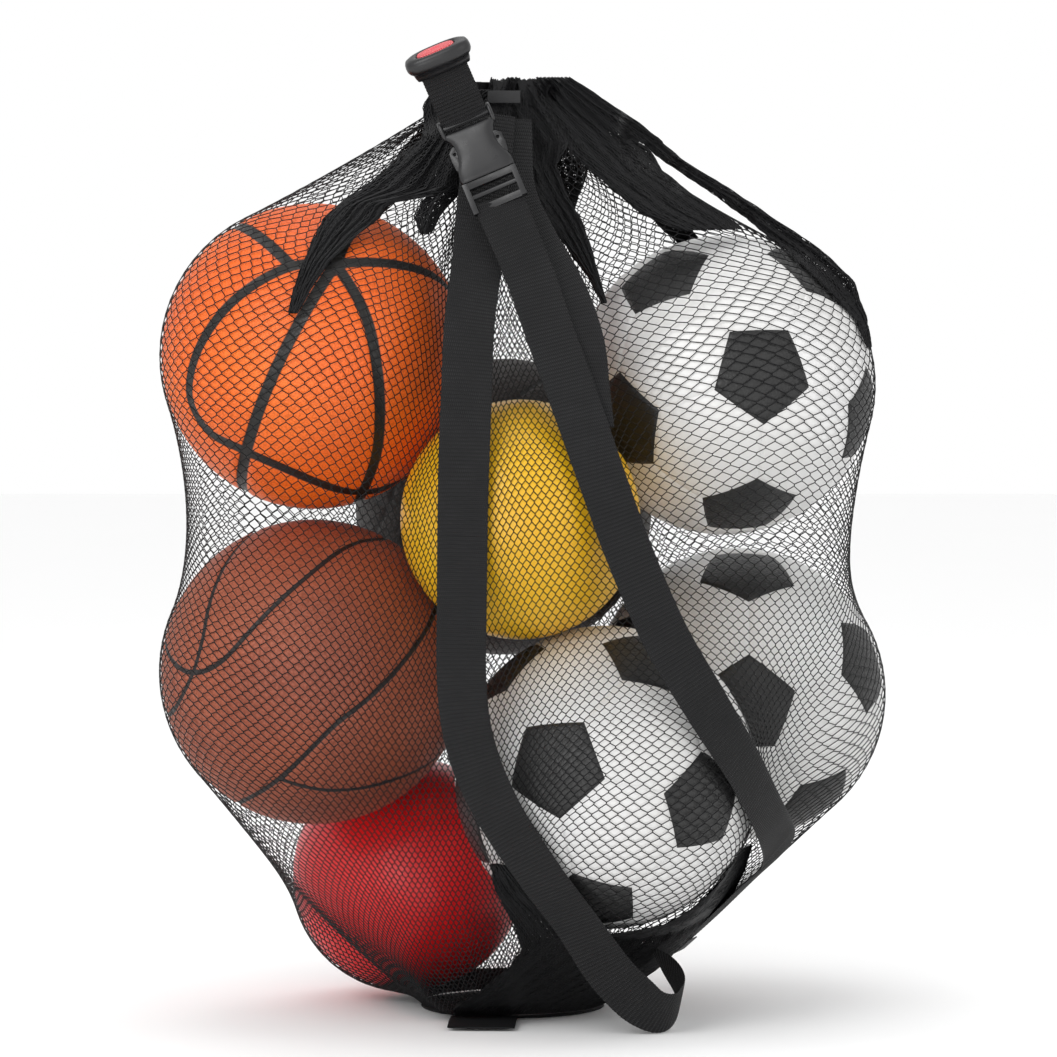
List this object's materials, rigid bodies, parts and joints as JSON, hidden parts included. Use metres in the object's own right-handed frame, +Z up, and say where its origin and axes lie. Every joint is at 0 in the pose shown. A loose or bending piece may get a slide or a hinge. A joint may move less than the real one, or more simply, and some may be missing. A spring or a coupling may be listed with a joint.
{
  "type": "mesh ball bag",
  "caption": "Black net ball bag with a cinched neck, two webbing straps, a side release buckle and a round base, filled with sport balls.",
  "frame": {"origin": "on the underside of the round base patch, under the middle of the bag", "axes": "+X to the bag's right in the front view, +Y to the back, +Z up along the bag; the buckle and both straps are on the -Y side"},
  "size_m": [0.5529, 0.4417, 0.7311],
  "materials": {
    "net": "knotless polyester net",
    "base_cloth": "woven polyester",
    "webbing": "ribbed polypropylene webbing",
    "thread": "sewing thread",
    "buckle_plastic": "satin moulded acetal",
    "insert_rubber": "ribbed",
    "orange_rubber": "pebbled",
    "brown_leather": "pebbled",
    "red_rubber": "glossy, fine pebble",
    "yellow_rubber": "smooth",
    "dark_leather": "pebbled",
    "kick_ball_leather": "white with black panels"
  },
  "bodies": {
    "bag": {"mesh_front_top": "net", "mesh_front_mid": "net", "mesh_front_low": "net", "mesh_back_top": "net", "mesh_back_mid": "net", "mesh_back_low": "net", "side_seam_left": "base_cloth", "side_seam_right": "base_cloth", "base_patch": "base_cloth", "base_binding": "base_cloth", "hem_casing": "base_cloth", "strap_left_upper": "webbing", "strap_left_lower": "webbing", "strap_right_upper": "webbing", "strap_right_lower": "webbing", "strap_behind": "webbing", "strap_turn_loop": "webbing", "base_tab": "base_cloth", "bartack_left": "thread", "bartack_right": "thread", "buckle_male": "buckle_plastic"},
    "strap_left": {"strap_left_mid": "webbing"},
    "strap_right": {"strap_right_mid": "webbing"},
    "prong_left": {"buckle_prong_left": "buckle_plastic"},
    "prong_right": {"buckle_prong_right": "buckle_plastic"},
    "buckle": {"buckle_female": "buckle_plastic", "buckle_bar": "buckle_plastic"},
    "tail": {"webbing_tail": "webbing", "end_cap": "buckle_plastic", "cap_insert": "insert_rubber"},
    "orange_ball": {"ball_orange": "orange_rubber"},
    "brown_ball": {"ball_brown": "brown_leather"},
    "red_ball": {"ball_red": "red_rubber"},
    "yellow_ball": {"ball_yellow": "yellow_rubber"},
    "upper_kick_ball": {"soccer_upper": "kick_ball_leather"},
    "right_kick_ball": {"soccer_right": "kick_ball_leather"},
    "front_kick_ball": {"soccer_front": "kick_ball_leather"},
    "hidden_ball": {"ball_hidden": "dark_leather"}
  },
  "joints": [
    {"name": "buckle_release", "type": "slide", "parent": "bag", "child": "buckle", "axis": [-0.3774, 0.2588, 0.8892], "range_m": [0, 0.036], "deforming": ["buckle_prong_left", "buckle_prong_right"]},
    {"name": "prong_left_squeeze", "type": "hinge", "parent": "bag", "child": "prong_left", "pos_m": [-0.04328, -0.10863, 0.62294], "axis": [0.1011, 0.9659, -0.2382], "range_deg": [0, 5], "stiffness_Nm_per_rad": 0.05},
    {"name": "prong_right_squeeze", "type": "hinge", "parent": "bag", "child": "prong_right", "pos_m": [-0.01529, -0.10863, 0.63481], "axis": [-0.1011, -0.9659, 0.2382], "range_deg": [0, 5], "stiffness_Nm_per_rad": 0.05},
    {"name": "tail_flop", "type": "hinge", "parent": "buckle", "child": "tail", "pos_m": [-0.04604, -0.09714, 0.66835], "axis": [0.9205, 0, 0.3907], "range_deg": [-40, 45], "stiffness_Nm_per_rad": 0.12},
    {"name": "strap_left_lift", "type": "slide", "parent": "bag", "child": "strap_left", "axis": [0, -1, 0], "range_m": [0, 0.05], "stiffness_N_per_m": 6},
    {"name": "strap_right_lift", "type": "slide", "parent": "bag", "child": "strap_right", "axis": [0, -1, 0], "range_m": [0, 0.05], "stiffness_N_per_m": 6},
    {"name": "orange_ball_turn", "type": "hinge", "parent": "bag", "child": "orange_ball", "pos_m": [-0.159, -0.039, 0.493], "axis": [0, 0, 1], "continuous": true},
    {"name": "brown_ball_turn", "type": "hinge", "parent": "bag", "child": "brown_ball", "pos_m": [-0.16, -0.042, 0.258], "axis": [0, 0, 1], "continuous": true},
    {"name": "red_ball_turn", "type": "hinge", "parent": "bag", "child": "red_ball", "pos_m": [-0.091, 0.057, 0.0945], "axis": [0, 0, 1], "continuous": true},
    {"name": "yellow_ball_turn", "type": "hinge", "parent": "bag", "child": "yellow_ball", "pos_m": [-0.006, -0.106, 0.376], "axis": [0, 0, 1], "continuous": true},
    {"name": "upper_kick_ball_turn", "type": "hinge", "parent": "bag", "child": "upper_kick_ball", "pos_m": [0.146, -0.007, 0.47], "axis": [0, 0, 1], "continuous": true},
    {"name": "right_kick_ball_turn", "type": "hinge", "parent": "bag", "child": "right_kick_ball", "pos_m": [0.16, 0.1, 0.228], "axis": [0, 0, 1], "continuous": true},
    {"name": "front_kick_ball_turn", "type": "hinge", "parent": "bag", "child": "front_kick_ball", "pos_m": [0.057, -0.098, 0.185], "axis": [0, 0, 1], "continuous": true},
    {"name": "hidden_ball_turn", "type": "hinge", "parent": "bag", "child": "hidden_ball", "pos_m": [-0.019, 0.112, 0.371], "axis": [0, 0, 1], "continuous": true}
  ]
}
